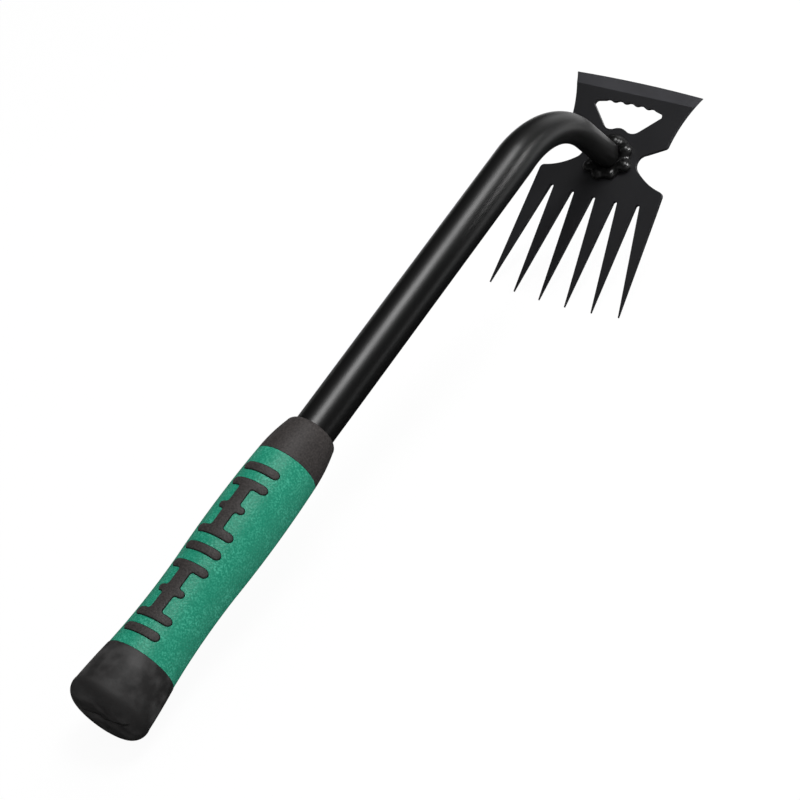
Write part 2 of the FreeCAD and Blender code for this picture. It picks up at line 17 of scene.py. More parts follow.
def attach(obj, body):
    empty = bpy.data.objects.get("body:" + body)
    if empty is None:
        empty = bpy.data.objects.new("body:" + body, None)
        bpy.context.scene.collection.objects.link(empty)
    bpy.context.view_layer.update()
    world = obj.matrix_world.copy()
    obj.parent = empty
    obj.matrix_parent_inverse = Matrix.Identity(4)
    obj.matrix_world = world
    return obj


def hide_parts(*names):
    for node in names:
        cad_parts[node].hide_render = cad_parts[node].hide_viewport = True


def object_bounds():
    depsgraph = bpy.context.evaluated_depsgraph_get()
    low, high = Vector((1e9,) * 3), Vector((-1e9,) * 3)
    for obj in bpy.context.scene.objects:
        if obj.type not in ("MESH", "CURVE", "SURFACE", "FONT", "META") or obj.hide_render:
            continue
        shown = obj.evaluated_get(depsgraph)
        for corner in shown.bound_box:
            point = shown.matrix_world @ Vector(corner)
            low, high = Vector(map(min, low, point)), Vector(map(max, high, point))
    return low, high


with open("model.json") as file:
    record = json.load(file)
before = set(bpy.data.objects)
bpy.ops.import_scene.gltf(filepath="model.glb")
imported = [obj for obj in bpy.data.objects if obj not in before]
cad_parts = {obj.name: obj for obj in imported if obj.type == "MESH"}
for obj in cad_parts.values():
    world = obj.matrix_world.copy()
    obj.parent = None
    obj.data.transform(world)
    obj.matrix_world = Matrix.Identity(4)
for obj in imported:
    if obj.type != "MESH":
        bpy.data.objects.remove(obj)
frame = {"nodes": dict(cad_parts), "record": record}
CAD_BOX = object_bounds()

bl_info = {
    "name": "Hand Cultivator Finish",
    "version": (1, 0, 0),
    "blender": (4, 5, 0),
    "location": "3D View > Sidebar > Cultivator",
    "description": "Dresses a hand cultivator's steel head, tube and two-colour grip",
    "category": "Add Mesh",
}

MM = 0.001
ROOT = "root"
# facets round the grip's pieces and round the tube
AROUND = 128
TUBE_SIDES = 96
# straight steps on each curve of the profiles and of the ribs' outlines
NOSE_STEPS = 10
COLLAR_STEPS = 12
SLEEVE_STEPS = 24
CAP_STEPS = 14
RIB_STEPS = 8
END_STEPS = 14
FILLET_STEPS = 5
NUB_STEPS = 7
TOP_STEPS = 3
# steps along each stretch of the tube, and rounds of smoothing that melt the weld's lumps
TUBE_STEPS = 48
MELT_ROUNDS = 24
# spacing of the points with which a rib's face follows the grip's round
FILL_STEP = 1.5 * MM
# how far the collar's nose bulges at the middle of its round, as a share of its length
NOSE_BULGE = 0.3
# radii of the edges where collar and cap meet the sleeve
COLLAR_EDGE = 0.5 * MM
CAP_EDGE = 0.6 * MM
# room between the tube's end and the cap's socket
SOCKET_GAP = 0.5 * MM
# how far the middle of each weld lump stands out of the plate, as a share of its radius
LUMP_OUT = 0.4
# the coating rounds edges sharper than the first, and edges flatter than the second are dissolved
SHARP = math.radians(40)
FLAT = math.radians(0.5)
# faces of the plate larger than this stay flat, in square metres
BROAD = 20 * MM * MM
# how far from the middle of the part's box the large lamps hang, in metres
LAMPS_AT = 1.2
# half the floor's width, as a multiple of the part's own diagonal
FLOOR_REACH = 20
# a bead listed lump by lump: each lump's clock angle in degrees, its distance from the tube's middle in
# millimetres, and its size as a share of the largest lump's
WELD_LUMPS = ((62, 9.9, 0.95), (106, 11.9, 0.92), (150, 10.4, 0.75), (190, 10.8, 0.86), (228, 11.6, 0.86),
              (282, 9.4, 0.7), (330, 8.0, 0.8), (10, 7.6, 1.0))
MOUNTS = {mount["name"]: mount for mount in frame["record"]["mounts"]}


# ---- sizes and colours

def linear(hex_code):
    """Return the linear colour of an sRGB hex code."""
    channels = [int(hex_code[start:start + 2], 16) / 255 for start in (1, 3, 5)]
    return [channel / 12.92 if channel <= 0.04045 else ((channel + 0.055) / 1.055) ** 2.4
            for channel in channels]


def length(name, description, millimetres):
    """Return a property for a length, with its default in millimetres."""
    return bpy.props.FloatProperty(
        name=name, description=description, default=millimetres * MM, min=0.0,
        subtype="DISTANCE", unit="LENGTH", precision=5)


def colour(name, description, hex_code):
    """Return a property for a colour, with its default as an sRGB hex code."""
    return bpy.props.FloatVectorProperty(
        name=name, description=description, default=linear(hex_code), size=3,
        min=0.0, max=1.0, subtype="COLOR")


def angle(name, description, degrees):
    """Return a property for an angle, with its default in degrees."""
    return bpy.props.FloatProperty(
        name=name, description=description, default=math.radians(degrees),
        subtype="ANGLE", unit="ROTATION")


def number(name, description, value):
    """Return a property for a plain number."""
    return bpy.props.FloatProperty(name=name, description=description, default=value, min=0.0)


class HeadSizes(bpy.types.PropertyGroup):
    """Sizes of the plate and of the weld that joins it to the tube."""
    thickness: length("Plate thickness", "Thickness of the steel plate", 2.0)
    edge_round: length("Edge round", "Radius that the coating leaves on cut edges", 0.22)
    ground_at: length("Ground bevel", "Height where the blade's bevel starts, above the tube", 34.4)
    weld_ring: length("Weld ring", "Radius of the middle of the weld bead", 9.0)
    weld_thick: length("Weld thickness", "Radius of the bead's section", 3.3)
    weld_lump: length("Weld lump", "Radius of the largest lumps along the bead", 4.0)
    voxel: length("Weld detail", "Size of the grid on which the lumps melt together", 0.3)


class TubeSizes(bpy.types.PropertyGroup):
    """Sizes of the bent tube."""
    outer: length("Diameter", "Outside diameter of the tube", 20.0)
    foot: length("Foot diameter", "Outside diameter where the tube meets the plate", 13.8)
    throat: length("Neck diameter", "Outside diameter where the bend starts", 14.0)
    neck: length("Neck", "Straight length from the plate to the bend", 29.0)
    bend_radius: length("Bend radius", "Radius of the bend's centre line", 52.0)
    bend: angle("Bend", "Angle that the bend turns through", 67.1)
    shank: length("Shank", "Straight length from the bend to the collar", 177.1)
    inside: length("Inside grip", "Length of tube inside the grip", 150.0)


class GripSizes(bpy.types.PropertyGroup):
    """Stations along the grip from the collar's front, and the diameters there."""
    turned: angle("Pattern turn", "How far the raised pattern sits round the handle from its upper side", 4.5)
    nose_front: length("Nose front", "Diameter of the collar's front face", 21.4)
    nose_back: length("Nose back", "Diameter behind the collar's rounded nose", 25.8)
    nose_length: length("Nose length", "Length of the rounded nose", 2.9)
    collar_mid: length("Collar middle", "Diameter halfway along the collar", 29.8)
    collar_back: length("Collar back", "Diameter where the collar meets the sleeve", 31.6)
    collar_length: length("Collar length", "Station where the sleeve starts", 22.0)
    belly: length("Belly", "Diameter of the sleeve's belly", 33.2)
    belly_at: length("Belly station", "Station of the belly", 53.0)
    turn: length("Turn", "Diameter between belly and waist", 31.7)
    turn_at: length("Turn station", "Station between belly and waist", 84.8)
    waist: length("Waist", "Diameter of the sleeve's waist", 31.2)
    waist_at: length("Waist station", "Station of the waist", 99.0)
    sleeve_back: length("Sleeve back", "Diameter of the sleeve's end", 34.4)
    sleeve_end: length("Sleeve end", "Station where the cap starts", 134.8)
    core: length("Core", "Diameter of the hard core under the sleeve", 25.0)
    cap_lip: length("Cap lip", "Diameter of the cap's front lip", 34.8)
    cap_mid: length("Cap middle", "Diameter of the cap at its middle", 37.0)
    cap_mid_at: length("Cap middle station", "Station of the cap's middle", 144.8)
    cap_wide: length("Cap width", "Diameter of the cap's widest ring", 38.7)
    cap_wide_at: length("Cap width station", "Station of the cap's widest ring", 155.6)
    cap_corner: length("Cap corner", "Diameter of the cap's rounded corner", 36.2)
    cap_corner_at: length("Cap corner station", "Station of the rounded corner", 161.4)
    cap_face: length("Cap face", "Diameter of the flat end face", 28.0)
    full: length("Grip length", "Length of the whole grip", 163.6)


class RibSizes(bpy.types.PropertyGroup):
    """Sizes of the raised black pattern."""
    raised: length("Raise", "Height of the ribs above the sleeve", 0.6)
    gap: length("Gap", "Parting gap between the ribs and the sleeve", 0.3)
    top_round: length("Top round", "Radius of the ribs' upper edges", 0.4)
    root: length("Root", "Depth of the ribs' feet under the sleeve's surface", 2.4)
    thick: length("Bar width", "Width of the bars and flanges", 4.7)
    span: length("Bar length", "Length of the bars and flanges", 19.2)
    bar_first: length("First bar", "Station of the first bar", 33.8)
    bar_pitch: length("Bar pitch", "Distance between bars", 46.0)
    beam_first: length("First beam", "Station of the first beam", 56.6)
    beam_pitch: length("Beam pitch", "Distance between beams", 46.8)
    flange_spacing: length("Flange spacing", "Distance between a beam's flanges", 27.2)
    web: length("Web width", "Width of a beam's web", 6.6)
    nub_span: length("Nub span", "Length across a beam's two nubs", 14.0)
    nub_thick: length("Nub width", "Width of the nubs", 4.0)
    fillet: length("Fillet", "Radius of the beams' inner corners", 1.2)
    bars: bpy.props.IntProperty(name="Bars", description="Number of bars", default=3, min=1)
    beams: bpy.props.IntProperty(name="Beams", description="Number of beams", default=2, min=1)


class Finishes(bpy.types.PropertyGroup):
    """Colours of the finishes."""
    paint: colour("Coating", "Satin black powder coating of the steel", "#18181A")
    # painted sheen: the lighter coating colour painted on the ground bevel for the light it catches
    bevel_sheen: colour("Coating, bevel sheen", "Painted sheen on the ground bevel, for the light it catches", "#2D2D30")
    enamel: colour("Weld enamel", "Coating that has pooled on the weld", "#0A0A0A")
    polymer: colour("Hard polymer", "Collar and ribs", "#34302F")
    green: colour("Green rubber", "Soft sleeve", "#077D62")
    # painted sparkle and sheen: the pale green of the specks painted on the sleeve
    green_sparkle: colour("Green rubber, painted sparkle", "Pale specks of sparkle and sheen painted on the soft sleeve", "#3FA98C")
    rubber: colour("Black rubber", "Butt cap", "#222121")
    rubber_pale: colour("Black rubber, scuffed", "Butt cap where it is scuffed", "#3E3D3D")
    floor: colour("Floor", "Studio floor and backdrop", "#F7F7F7")
    cards: colour("Cards", "Dark cards that the coating mirrors in place of the floor", "#202020")


class StageSettings(bpy.types.PropertyGroup):
    """The camera's place round the part, and the studio lights."""
    azimuth: angle("Azimuth", "Camera's turn round the part, 0 looking along +Y", -45.86)
    elevation: angle("Elevation", "Camera's height above the horizon", 37.35)
    roll: angle("Roll", "Camera's turn about its own line of sight", 14.18)
    distance: length("Distance", "From the aim point to the camera", 1208.8)
    focal: number("Focal length", "Lens, in millimetres on a 36 mm sensor", 117.0)
    aim: bpy.props.FloatVectorProperty(
        name="Aim", description="Aim point from the middle of the part's box", size=3,
        default=(8.16 * MM, -7.21 * MM, -14.25 * MM), subtype="TRANSLATION", unit="LENGTH")
    key_power: number("Key light", "Power of the light that draws the streaks, in watts", 10.0)
    back_power: number("Back light", "Power of the soft light behind the part, in watts", 4.0)
    fill_power: number("Fill light", "Power of the soft light beside the part, in watts", 2.2)
    accent_power: number("Accent light", "Power of the gridded light on the weld, in watts", 0.06)
    rim_power: number("Rim light", "Power of the gridded light on the bend's rim, in watts", 0.12)
    ambient: number("Room light", "Strength of the even light all round", 0.5)
    mirrored: number("Mirrored room", "Strength of the room as the part mirrors it", 0.04)
    glow: number("Floor glow", "Share of the floor's white that holds in shadow", 0.95)


class CultivatorSettings(bpy.types.PropertyGroup):
    """All the settings of the part and its stage."""
    head: bpy.props.PointerProperty(type=HeadSizes)
    tube: bpy.props.PointerProperty(type=TubeSizes)
    grip: bpy.props.PointerProperty(type=GripSizes)
    ribs: bpy.props.PointerProperty(type=RibSizes)
    finishes: bpy.props.PointerProperty(type=Finishes)
    stage: bpy.props.PointerProperty(type=StageSettings)


# ---- node trees

def set_inputs(node, inputs):
    """Set or link a node's inputs by name or number; a node stands for its first output."""
    for key, value in inputs.items():
        for source in value if isinstance(value, list) else [value]:
            if isinstance(source, bpy.types.Node):
                source = source.outputs[0]
            if isinstance(source, bpy.types.NodeSocket):
                node.id_data.links.new(source, node.inputs[key])
            else:
                node.inputs[key].default_value = source


def add_node(tree, kind, inputs=None, **settings):
    """Add a node, set its properties, and set or link its inputs."""
    node = tree.nodes.new(kind)
    for name, value in settings.items():
        setattr(node, name, value)
    set_inputs(node, inputs or {})
    return node


def node_adder(holder):
    """Empty the node tree of a material or a world, and return what adds a node to it."""
    holder.use_nodes = True
    holder.node_tree.nodes.clear()
    return partial(add_node, holder.node_tree)


def new_material(name):
    """Start a material; return it, what adds its nodes, its shader and Object coordinates."""
    material = bpy.data.materials.new(name)
    add = node_adder(material)
    shader = add("ShaderNodeBsdfPrincipled")
    add("ShaderNodeOutputMaterial", {"Surface": shader})
    return material, add, shader, add("ShaderNodeTexCoord").outputs["Object"]


def blended(add, share, first, second):
    """Return the socket of a colour that goes from the first to the second as its share grows."""
    mix = add("ShaderNodeMix", {"Factor": share}, data_type="RGBA")
    colours = [socket for socket in mix.inputs if socket.type == "RGBA"]
    for socket, shade in zip(colours, (first, second)):
        socket.default_value = (*shade, 1)
    return next(socket for socket in mix.outputs if socket.type == "RGBA")


def new_geometry_tree(name, inputs):
    """Start a Geometry Nodes tree; return it, what adds its nodes, and its named inputs."""
    tree = bpy.data.node_groups.new(name, "GeometryNodeTree")
    for label, kind in inputs.items():
        tree.interface.new_socket(label, in_out="INPUT", socket_type="NodeSocket" + kind)
    tree.interface.new_socket("Geometry", in_out="OUTPUT", socket_type="NodeSocketGeometry")
    add = partial(add_node, tree)
    return tree, add, add("NodeGroupInput").outputs


def end_geometry_tree(add, geometry, material):
    """Realize the geometry, give it its material and send it out of the tree."""
    real = add("GeometryNodeRealizeInstances", {0: geometry})
    painted = add("GeometryNodeSetMaterial", {0: real, "Material": material})
    smooth = add("GeometryNodeSetShadeSmooth", {0: painted})
    add("NodeGroupOutput", {0: smooth})


def grown(name, tree, values, place):
    """Run a Geometry Nodes tree once, lay its result in place and return it as a plain mesh object."""
    piece = linked(name, bpy.data.meshes.new(name))
    modifier = piece.modifiers.new(name, "NODES")
    modifier.node_group = tree
    for socket in tree.interface.items_tree:
        if socket.in_out == "INPUT":
            modifier[socket.identifier] = values[socket.name]
    shaped = piece.evaluated_get(bpy.context.evaluated_depsgraph_get())
    mesh = bpy.data.meshes.new_from_object(shaped)
    piece.modifiers.clear()
    piece.data = mesh
    mesh.name = name
    mesh.transform(place)
    # the objects that the tree was fed with are used up
    for value in values.values():
        if isinstance(value, bpy.types.Object):
            bpy.data.objects.remove(value)
    return piece


# ---- places

def plate_frame(head):
    """Return the frame at the tube's foot: -Y out of the plate's face, Z up the plate."""
    back = MOUNTS["plate_back"]
    normal = Vector(back["axis"]).normalized()
    foot = Vector(back["pos_m"]) - normal * head.thickness
    return Matrix.Translation(foot) @ Matrix.Rotation(math.atan2(normal.z, normal.y), 4, "X")


def bend_end(tube):
    """Return where the bend ends, in the plate's frame."""
    return Vector((0, -(tube.neck + tube.bend_radius * math.sin(tube.bend)),
                   -tube.bend_radius * (1 - math.cos(tube.bend))))


def shank_direction(tube):
    """Return the direction from the bend to the butt, in the plate's frame."""
    return Vector((0, -math.cos(tube.bend), -math.sin(tube.bend)))


def grip_frame(settings):
    """Return the grip's frame, with Z along the handle to the butt and Y to its upper side."""
    tube = settings.tube
    front = bend_end(tube) + shank_direction(tube) * tube.shank
    turn = (Matrix.Rotation(math.radians(90) + tube.bend, 4, "X")
            @ Matrix.Rotation(-settings.grip.turned, 4, "Z"))
    return plate_frame(settings.head) @ Matrix.Translation(front) @ turn


def finish_piece(piece, slot, *nodes):
    """Make a piece ride on the part, in the place of CAD nodes."""
    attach(piece, ROOT)
    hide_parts(*nodes)


def linked(name, data):
    """Link a mesh, curve, lamp or lens into the scene as an object."""
    thing = bpy.data.objects.new(name, data)
    bpy.context.scene.collection.objects.link(thing)
    return thing


def new_piece(name, mesh, material):
    """Link a mesh into the scene as a piece with one material."""
    mesh.materials.clear()
    mesh.materials.append(material)
    return linked(name, mesh)


def mesh_of(name, shape):
    """Turn a bmesh into a mesh and free it."""
    mesh = bpy.data.meshes.new(name)
    shape.to_mesh(mesh)
    shape.free()
    return mesh


# ---- turned shapes

def arc(start, middle, end, steps):
    """Return the points after start on the arc through three points of a profile."""
    ax, ay = start
    bx, by = middle
    cx, cy = end
    double = 2 * (ax * (by - cy) + bx * (cy - ay) + cx * (ay - by))
    squares = [x * x + y * y for x, y in (start, middle, end)]
    ux = (squares[0] * (by - cy) + squares[1] * (cy - ay) + squares[2] * (ay - by)) / double
    uy = (squares[0] * (cx - bx) + squares[1] * (ax - cx) + squares[2] * (bx - ax)) / double
    radius = math.hypot(ax - ux, ay - uy)
    first = math.atan2(ay - uy, ax - ux)
    sweep = math.remainder(math.atan2(cy - uy, cx - ux) - first, math.tau)
    return [(ux + radius * math.cos(first + sweep * step / steps),
             uy + radius * math.sin(first + sweep * step / steps)) for step in range(1, steps + 1)]


def corner_round(before, corner, after, radius, steps=4):
    """Return points that round a profile's corner."""
    corner = Vector(corner)
    start = corner + (Vector(before) - corner).normalized() * radius
    end = corner + (Vector(after) - corner).normalized() * radius
    shares = [step / steps for step in range(steps + 1)]
    return [tuple(start * (1 - share) ** 2 + corner * 2 * share * (1 - share) + end * share ** 2)
            for share in shares]


def turned_mesh(name, profile, segments):
    """Spin a closed profile of (radius, station) points round Z and return the mesh."""
    shape = bmesh.new()
    rings = []
    for radius, station in profile:
        # a point on the axis is a ring of one
        turns = [math.tau * segment / segments for segment in range(segments if radius else 1)]
        rings.append([shape.verts.new((radius * math.cos(turn), radius * math.sin(turn), station))
                      for turn in turns])
    for here, there in zip(rings, rings[1:] + rings[:1]):
        if len(here) == 1 and len(there) == 1:
            continue
        for segment in range(segments):
            after = (segment + 1) % segments
            corners = [here[segment % len(here)], here[after % len(here)],
                       there[after % len(there)], there[segment % len(there)]]
            shape.faces.new(list(dict.fromkeys(corners)))
    bmesh.ops.recalc_face_normals(shape, faces=shape.faces)
    mesh = mesh_of(name, shape)
    mesh.shade_smooth()
    return mesh


def sleeve_line(grip):
    """Return the sleeve's outside from the collar to the cap, as (radius, station) points."""
    start = (grip.collar_back / 2, grip.collar_length)
    turn = (grip.turn / 2, grip.turn_at)
    end = (grip.sleeve_back / 2, grip.sleeve_end)
    front = arc(start, (grip.belly / 2, grip.belly_at), turn, SLEEVE_STEPS)
    return [start] + front + arc(turn, (grip.waist / 2, grip.waist_at), end, SLEEVE_STEPS)


# ---- materials

def painted_steel(finishes, head):
    """Powder-coated mild steel: satin, with a faint orange peel, and a painted sheen on the ground blade."""
    material, add, shader, place = new_material("powder_coated_steel")
    # how far up the plate each point is, for the painted sheen on the bevel ground along the blade
    foot = plate_frame(head)
    up_plate = foot.col[2].to_3d()
    rise = add("ShaderNodeVectorMath", {0: place, 1: up_plate}, operation="DOT_PRODUCT")
    ground_at = head.ground_at + foot.translation.dot(up_plate)
    ground = add("ShaderNodeMapRange", {
        "Value": rise.outputs["Value"], "From Min": ground_at - 0.1 * MM, "From Max": ground_at + 0.1 * MM})
    # orange peel has ripples about 1.5 mm long and a few microns high, drawn deeper so that they show
    peel = add("ShaderNodeTexNoise", {"Vector": place, "Scale": 1 / (1.5 * MM)})
    # powder melts into patches some 20 mm wide, that differ a little in tone
    patches = add("ShaderNodeTexNoise", {"Vector": place, "Scale": 1 / (20 * MM), "Detail": 3.0})
    uneven = add("ShaderNodeMapRange", {
        "Value": patches, "From Min": 0.3, "From Max": 0.7, "To Min": 0.75, "To Max": 1.0})
    # painted sheen: the bevel is painted lighter, a little unevenly from patch to patch
    share = add("ShaderNodeMath", {0: ground, 1: uneven}, operation="MULTIPLY")
    set_inputs(shader, {
        "Base Color": blended(add, share, finishes.paint, finishes.bevel_sheen),
        "Roughness": add("ShaderNodeMapRange", {"Value": patches, "To Min": 0.36, "To Max": 0.5}),
        "Normal": add("ShaderNodeBump", {"Height": peel, "Strength": 0.15, "Distance": 0.05 * MM})})
    return material


def painted_tube(finishes):
    """The same coating on drawn tube, which is smoother, so its streak of light is longer."""
    material, add, shader, place = new_material("powder_coated_tube")
    # a smoother peel, 2.5 mm long, in patches some 30 mm wide
    peel = add("ShaderNodeTexNoise", {"Vector": place, "Scale": 1 / (2.5 * MM)})
    patches = add("ShaderNodeTexNoise", {"Vector": place, "Scale": 1 / (30 * MM)})
    set_inputs(shader, {
        "Base Color": (*finishes.enamel, 1),
        "Roughness": add("ShaderNodeMapRange", {"Value": patches, "To Min": 0.34, "To Max": 0.42}),
        "Normal": add("ShaderNodeBump", {"Height": peel, "Strength": 0.1, "Distance": 0.05 * MM})})
    return material


def pooled_enamel(finishes):
    """Coating that ran thick over weld metal: near black and glossy."""
    material, add, shader, place = new_material("coated_weld_metal")
    # weld ripples are about 1.2 mm apart
    ripple = add("ShaderNodeTexNoise", {"Vector": place, "Scale": 1 / (1.2 * MM), "Detail": 3.0})
    set_inputs(shader, {
        "Base Color": (*finishes.enamel, 1), "Roughness": 0.34,
        "Normal": add("ShaderNodeBump", {"Height": ripple, "Strength": 0.4, "Distance": 0.1 * MM})})
    return material


def textured_polymer(finishes):
    """Polypropylene moulded in a spark-eroded tool: matt, with a fine even grain."""
    material, add, shader, place = new_material("moulded_polypropylene")
    # the grain is about 0.3 mm across, and is drawn at 0.9 mm so that it shows
    grain = add("ShaderNodeTexNoise", {"Vector": place, "Scale": 1 / (0.9 * MM), "Detail": 4.0})
    tone = add("ShaderNodeMapRange", {
        "Value": grain, "From Min": 0.3, "From Max": 0.7, "To Min": 0.55, "To Max": 1.35})
    set_inputs(shader, {
        "Base Color": add("ShaderNodeVectorMath", {
            0: tuple(finishes.polymer), "Scale": tone}, operation="SCALE"),
        "Roughness": 0.6, "Specular IOR Level": 0.35,
        "Normal": add("ShaderNodeBump", {"Height": grain, "Strength": 0.7, "Distance": 0.25 * MM})})
    return material


def pebbled_rubber(finishes):
    """Thermoplastic rubber with a fine pebble moulded in, whose sparkle and sheen under a soft light are
    painted as pale specks in patches.
    """
    material, add, shader, place = new_material("pebbled_thermoplastic_rubber")
    # pebbles are about 0.5 mm across, and are drawn at 1 mm so that they show
    pebbles = add("ShaderNodeTexVoronoi", {"Vector": place, "Scale": 1 / (1.0 * MM)})
    grain = add("ShaderNodeTexNoise", {"Vector": place, "Scale": 1 / (0.9 * MM)})
    # the painted sparkle and sheen lie in patches some 10 mm wide
    mottle = add("ShaderNodeTexNoise", {"Vector": place, "Scale": 1 / (10 * MM), "Detail": 4.0})
    # painted sparkle: pale specks where the fine grain is high
    specks = add("ShaderNodeMapRange", {"Value": grain, "From Min": 0.45, "From Max": 0.68})
    patches = add("ShaderNodeMapRange", {
        "Value": mottle, "From Min": 0.35, "From Max": 0.65, "To Min": 0.3, "To Max": 0.9})
    share = add("ShaderNodeMath", {0: specks, 1: patches}, operation="MULTIPLY")
    set_inputs(shader, {
        "Base Color": blended(add, share, finishes.green, finishes.green_sparkle),
        "Roughness": 0.5, "Specular IOR Level": 0.35,
        "Normal": add("ShaderNodeBump", {
            "Height": pebbles, "Strength": 0.6, "Distance": 0.2 * MM}, invert=True)})
    return material


def scuffed_rubber(settings):
    """Moulded black rubber: matt, scuffed on its side and face, with a painted shade band at the corner and a
    seam across the face.
    """
    material, add, shader, coordinates = new_material("moulded_black_rubber")
    grip = settings.grip
    finishes = settings.finishes
    into_grip = grip_frame(settings).inverted()
    place = add("ShaderNodeMapping", {
        "Vector": coordinates, "Location": into_grip.translation, "Rotation": into_grip.to_euler()})
    across, upwards, along = add("ShaderNodeSeparateXYZ", {0: place}).outputs
    # scuffs are some 9 mm long, and the skin's 0.3 mm grain is drawn at 0.9 mm so that it shows
    scuffs = add("ShaderNodeTexNoise", {"Vector": place, "Scale": 1 / (9 * MM), "Detail": 6.0})
    grain = add("ShaderNodeTexNoise", {"Vector": place, "Scale": 1 / (0.9 * MM), "Detail": 3.0})
    pale = add("ShaderNodeMapRange", {"Value": scuffs, "From Min": 0.4, "From Max": 0.7})
    # painted shade: a band round the corner between side and face is kept dark, free of the pale scuffs
    station = add("ShaderNodeMath", {0: along, 1: grip.cap_corner_at - 2.5 * MM}, operation="SUBTRACT")
    off = add("ShaderNodeMath", {0: station}, operation="ABSOLUTE")
    clear_of_shade_band = add("ShaderNodeMapRange", {"Value": off, "From Min": 1.0 * MM, "From Max": 6.0 * MM})
    share = add("ShaderNodeMath", {0: pale, 1: clear_of_shade_band}, operation="MULTIPLY")
    # the mould's seam runs aslant across the face, with a step where its two halves met
    level = add("ShaderNodeMapRange", {
        "Value": across, "From Min": 0.2 * MM, "From Max": 2.2 * MM, "To Min": 3.2 * MM, "To Max": 0.2 * MM})
    slope = add("ShaderNodeMath", {0: across, 1: 0.26, 2: level}, operation="MULTIPLY_ADD")
    beside = add("ShaderNodeMath", {0: upwards, 1: slope}, operation="SUBTRACT")
    clear = add("ShaderNodeMath", {0: beside}, operation="ABSOLUTE")
    seam = add("ShaderNodeMapRange", {
        "Value": clear, "From Min": 0.2 * MM, "From Max": 0.9 * MM, "To Min": 1.0, "To Max": 0.0})
    on_face = add("ShaderNodeMapRange", {
        "Value": along, "From Min": grip.full - 2.0 * MM, "From Max": grip.full - 0.8 * MM})
    cut = add("ShaderNodeMath", {0: seam, 1: on_face}, operation="MULTIPLY")
    shadow = add("ShaderNodeMapRange", {"Value": cut, "To Min": 1.0, "To Max": 0.3})
    fine = add("ShaderNodeBump", {"Height": grain, "Strength": 0.3, "Distance": 0.1 * MM})
    set_inputs(shader, {
        "Base Color": add("ShaderNodeVectorMath", {
            0: blended(add, share, finishes.rubber, finishes.rubber_pale), "Scale": shadow},
            operation="SCALE"),
        "Roughness": 0.62, "Specular IOR Level": 0.3,
        "Normal": add("ShaderNodeBump", {
            "Height": cut, "Strength": 0.8, "Distance": 0.5 * MM, "Normal": fine}, invert=True)})
    return material


# ---- ribs, flat

def fan(centre, radius, first, last, steps):
    """Return the points of an arc from one angle to another, in degrees."""
    turns = [math.radians(first + (last - first) * step / steps) for step in range(steps + 1)]
    return [(centre[0] + radius * math.cos(turn), centre[1] + radius * math.sin(turn)) for turn in turns]


def bar_quarter(ribs, inset):
    """Return a quarter of a bar's outline, drawn in by an inset."""
    arm = ribs.span / 2 - ribs.thick / 2
    radius = ribs.thick / 2 - inset
    top = [(arm * step / RIB_STEPS, radius) for step in range(RIB_STEPS)]
    return top + fan((arm, 0), radius, 90, 0, RIB_STEPS)


def beam_quarter(ribs, inset):
    """Return a quarter of a beam's outline, drawn in by an inset."""
    arm = ribs.span / 2 - ribs.thick / 2
    flange = ribs.flange_spacing / 2
    radius = ribs.thick / 2 - inset
    nub = ribs.nub_thick / 2
    inner = ribs.web / 2 + ribs.fillet
    top = [(arm * step / RIB_STEPS, flange + radius) for step in range(RIB_STEPS)]
    round_end = fan((arm, flange), radius, 90, -90, END_STEPS)
    upper = fan((inner, flange - ribs.thick / 2 - ribs.fillet), ribs.fillet + inset, 90, 180, FILLET_STEPS)
    lower = fan((inner, nub + ribs.fillet), ribs.fillet + inset, 180, 270, FILLET_STEPS)
    tip = fan((ribs.nub_span / 2 - nub, 0), nub - inset, 90, 0, NUB_STEPS)
    return top + round_end + upper + lower + tip


def whole_loop(quarter):
    """Return the closed outline made of a quarter that runs from the vertical axis to the other."""
    right = quarter + [(x, -z) for x, z in reversed(quarter[:-1])]
    return right + [(-x, z) for x, z in reversed(right[1:-1])]


def flat_rib(name, quarter_of, ribs):
    """Return a rib as a closed flat mesh in X and Z, with its height along Y."""
    layers = [(ribs.gap, -ribs.root), (ribs.gap, 0), (ribs.gap, ribs.raised - ribs.top_round)]
    for step in range(1, TOP_STEPS + 1):
        turn = math.pi / 2 * step / TOP_STEPS
        layers.append((ribs.gap + ribs.top_round * (1 - math.cos(turn)),
                       ribs.raised - ribs.top_round * (1 - math.sin(turn))))
    shape = bmesh.new()
    rings = []
    for inset, height in layers:
        ring = [shape.verts.new((x, height, z)) for x, z in whole_loop(quarter_of(ribs, inset))]
        rings.append(ring)
    for below, above in zip(rings, rings[1:]):
        for index in range(len(below)):
            after = (index + 1) % len(below)
            shape.faces.new((below[index], below[after], above[after], above[index]))
    for ring in (rings[0], rings[-1]):
        fill(shape, ring)
    bmesh.ops.recalc_face_normals(shape, faces=shape.faces)
    return linked(name, mesh_of(name, shape))


def fill(shape, ring):
    """Fill a ring of a flat rib with triangles fine enough to follow the grip's round."""
    # in millimetres, which suit the triangulation's tolerance
    spacing = FILL_STEP / MM
    height = ring[0].co.y
    outline = [Vector((vertex.co.x / MM, vertex.co.z / MM)) for vertex in ring]
    columns, rows = [int(max(abs(point[axis]) for point in outline) / spacing) for axis in (0, 1)]
    inner = []
    # half a step aside, so that no column runs along the straight side of a beam's web
    for column in range(-columns - 1, columns + 1):
        for row in range(-rows, rows + 1):
            point = Vector((column + 0.5, row)) * spacing
            if all((point - corner).length > spacing / 2 for corner in outline):
                inner.append(point)
    # 1 keeps the triangles inside the outline
    points, edges, triangles, origins = delaunay_2d_cdt(
        outline + inner, [], [list(range(len(outline)))], 1, 1e-4)[:4]
    placed = {}
    for index, origin in enumerate(origins):
        if origin and origin[0] < len(ring):
            placed[index] = ring[origin[0]]
    for triangle in triangles:
        corners = []
        for index in triangle:
            if index not in placed:
                placed[index] = shape.verts.new((points[index].x * MM, height, points[index].y * MM))
            corners.append(placed[index])
        shape.faces.new(corners)


